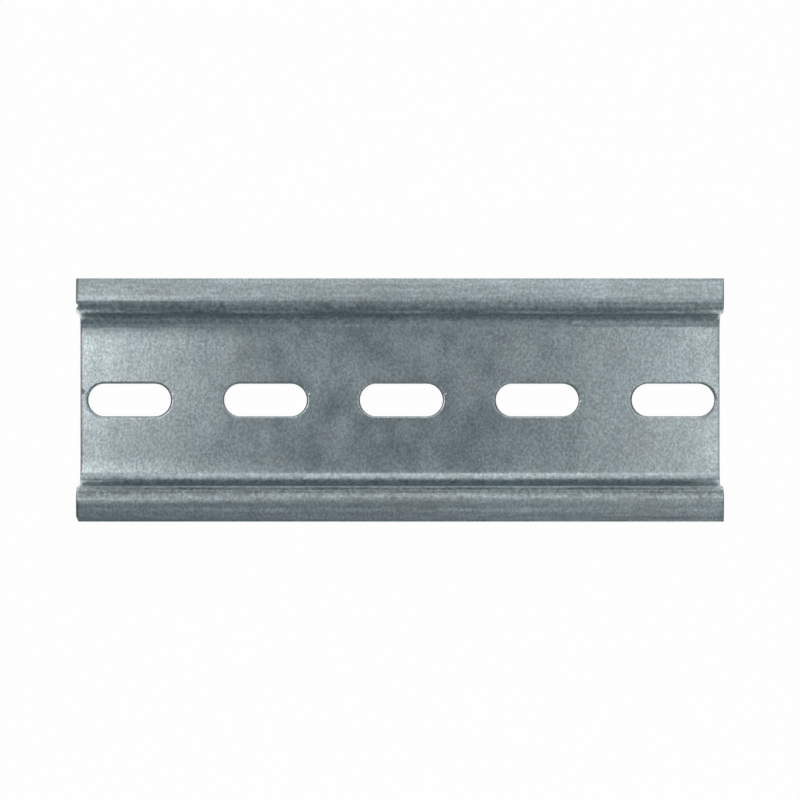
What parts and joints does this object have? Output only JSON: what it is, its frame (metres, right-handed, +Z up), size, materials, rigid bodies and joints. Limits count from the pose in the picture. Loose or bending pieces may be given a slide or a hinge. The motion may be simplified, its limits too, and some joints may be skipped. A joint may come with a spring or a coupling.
{
  "type": "din rail",
  "caption": "Short slotted 35 mm top-hat mounting rail, roll-formed from zinc-plated steel strip.",
  "frame": {"origin": "centre of the mounting face at the back of the channel's floor, which rests on the panel", "axes": "+X along the rail, +Y across it, +Z up from the mounting face towards the flanges"},
  "size_m": [0.094, 0.0354, 0.0075],
  "materials": {
    "zinc_plate": "zinc-plated strip steel, satin, lightly mottled and scuffed"
  },
  "bodies": {
    "root": {"rail": "zinc_plate"}
  },
  "joints": []
}
